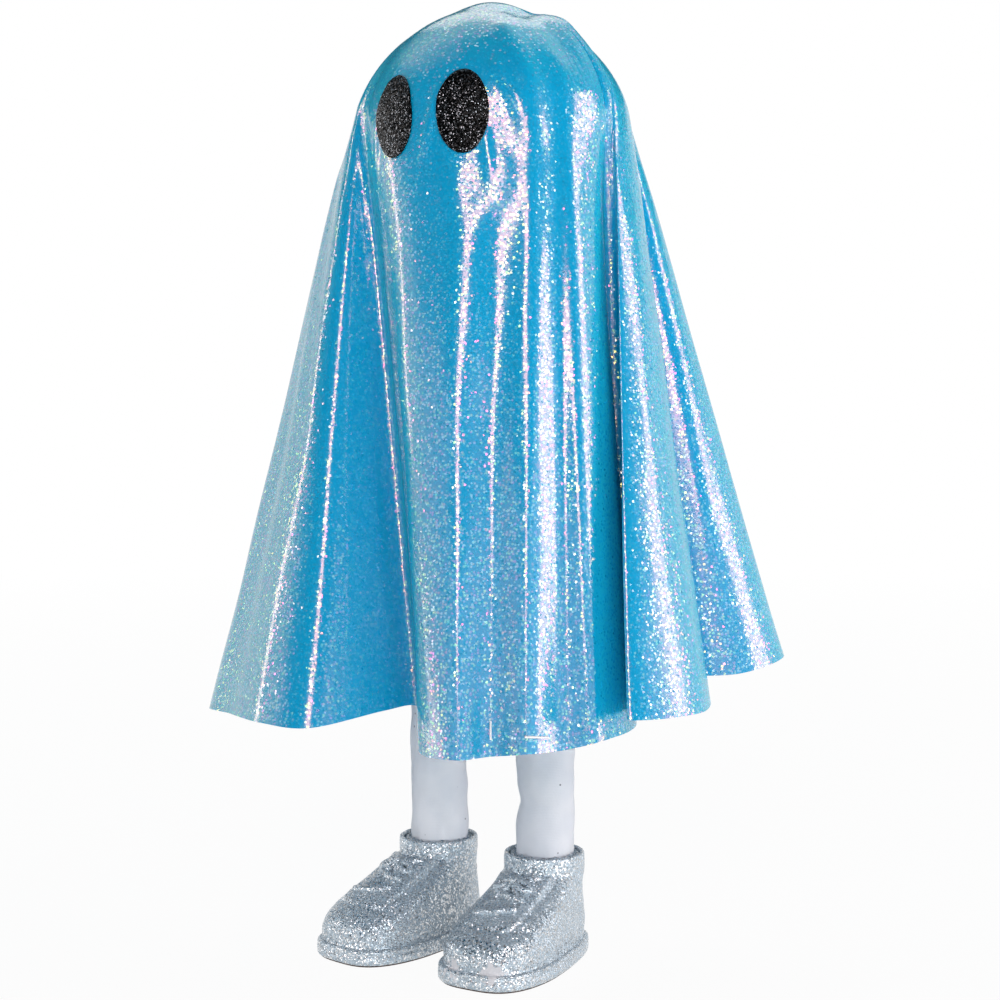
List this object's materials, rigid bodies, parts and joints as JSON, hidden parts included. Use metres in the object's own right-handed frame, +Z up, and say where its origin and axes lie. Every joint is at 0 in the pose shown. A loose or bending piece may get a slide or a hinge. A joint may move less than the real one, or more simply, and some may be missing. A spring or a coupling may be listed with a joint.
{
  "type": "ghost figure",
  "caption": "Free-standing sheet ghost: a foil-cloth drape falling in deep folds from a ball head, with oval eyes, stuffed tube legs and glitter-coated ankle boots.",
  "frame": {"origin": "centre of the figure's box on the ground, under the soles", "axes": "+Z up; the face and the toes look along -Y; the figure's left hand side is at +X"},
  "size_m": [0.2794, 0.2734, 0.4819],
  "materials": {
    "cloth": "satin",
    "eye_sheet": "satin",
    "tack_plastic": "gloss",
    "head_foam": "matte",
    "wood": "matte",
    "screw_steel": "satin",
    "wadding": "matte",
    "leg_cloth": "matte",
    "boot_glitter": "satin",
    "outsole_rubber": "matte",
    "heel_tab_cloth": "matte",
    "ballast_plaster": "matte"
  },
  "bodies": {
    "root": {"drape": "cloth", "left_eye": "eye_sheet", "right_eye": "eye_sheet", "front_hem_tack_1": "tack_plastic", "front_hem_tack_2": "tack_plastic", "head_ball": "head_foam", "neck_disc": "wood", "spine_dowel": "wood", "hip_block": "wood", "left_leg_screw": "screw_steel", "right_leg_screw": "screw_steel", "spine_screw": "screw_steel", "left_leg_rod": "wood", "left_leg_wadding": "wadding", "left_leg_sleeve": "leg_cloth", "left_boot_filler": "boot_glitter", "left_boot_outsole": "outsole_rubber", "left_boot_welt": "boot_glitter", "left_boot_upper": "boot_glitter", "left_boot_lace": "boot_glitter", "left_boot_heel_tab": "heel_tab_cloth", "left_boot_ballast": "ballast_plaster", "right_leg_rod": "wood", "right_leg_wadding": "wadding", "right_leg_sleeve": "leg_cloth", "right_boot_filler": "boot_glitter", "right_boot_outsole": "outsole_rubber", "right_boot_welt": "boot_glitter", "right_boot_upper": "boot_glitter", "right_boot_lace": "boot_glitter", "right_boot_heel_tab": "heel_tab_cloth", "right_boot_ballast": "ballast_plaster"}
  },
  "joints": []
}
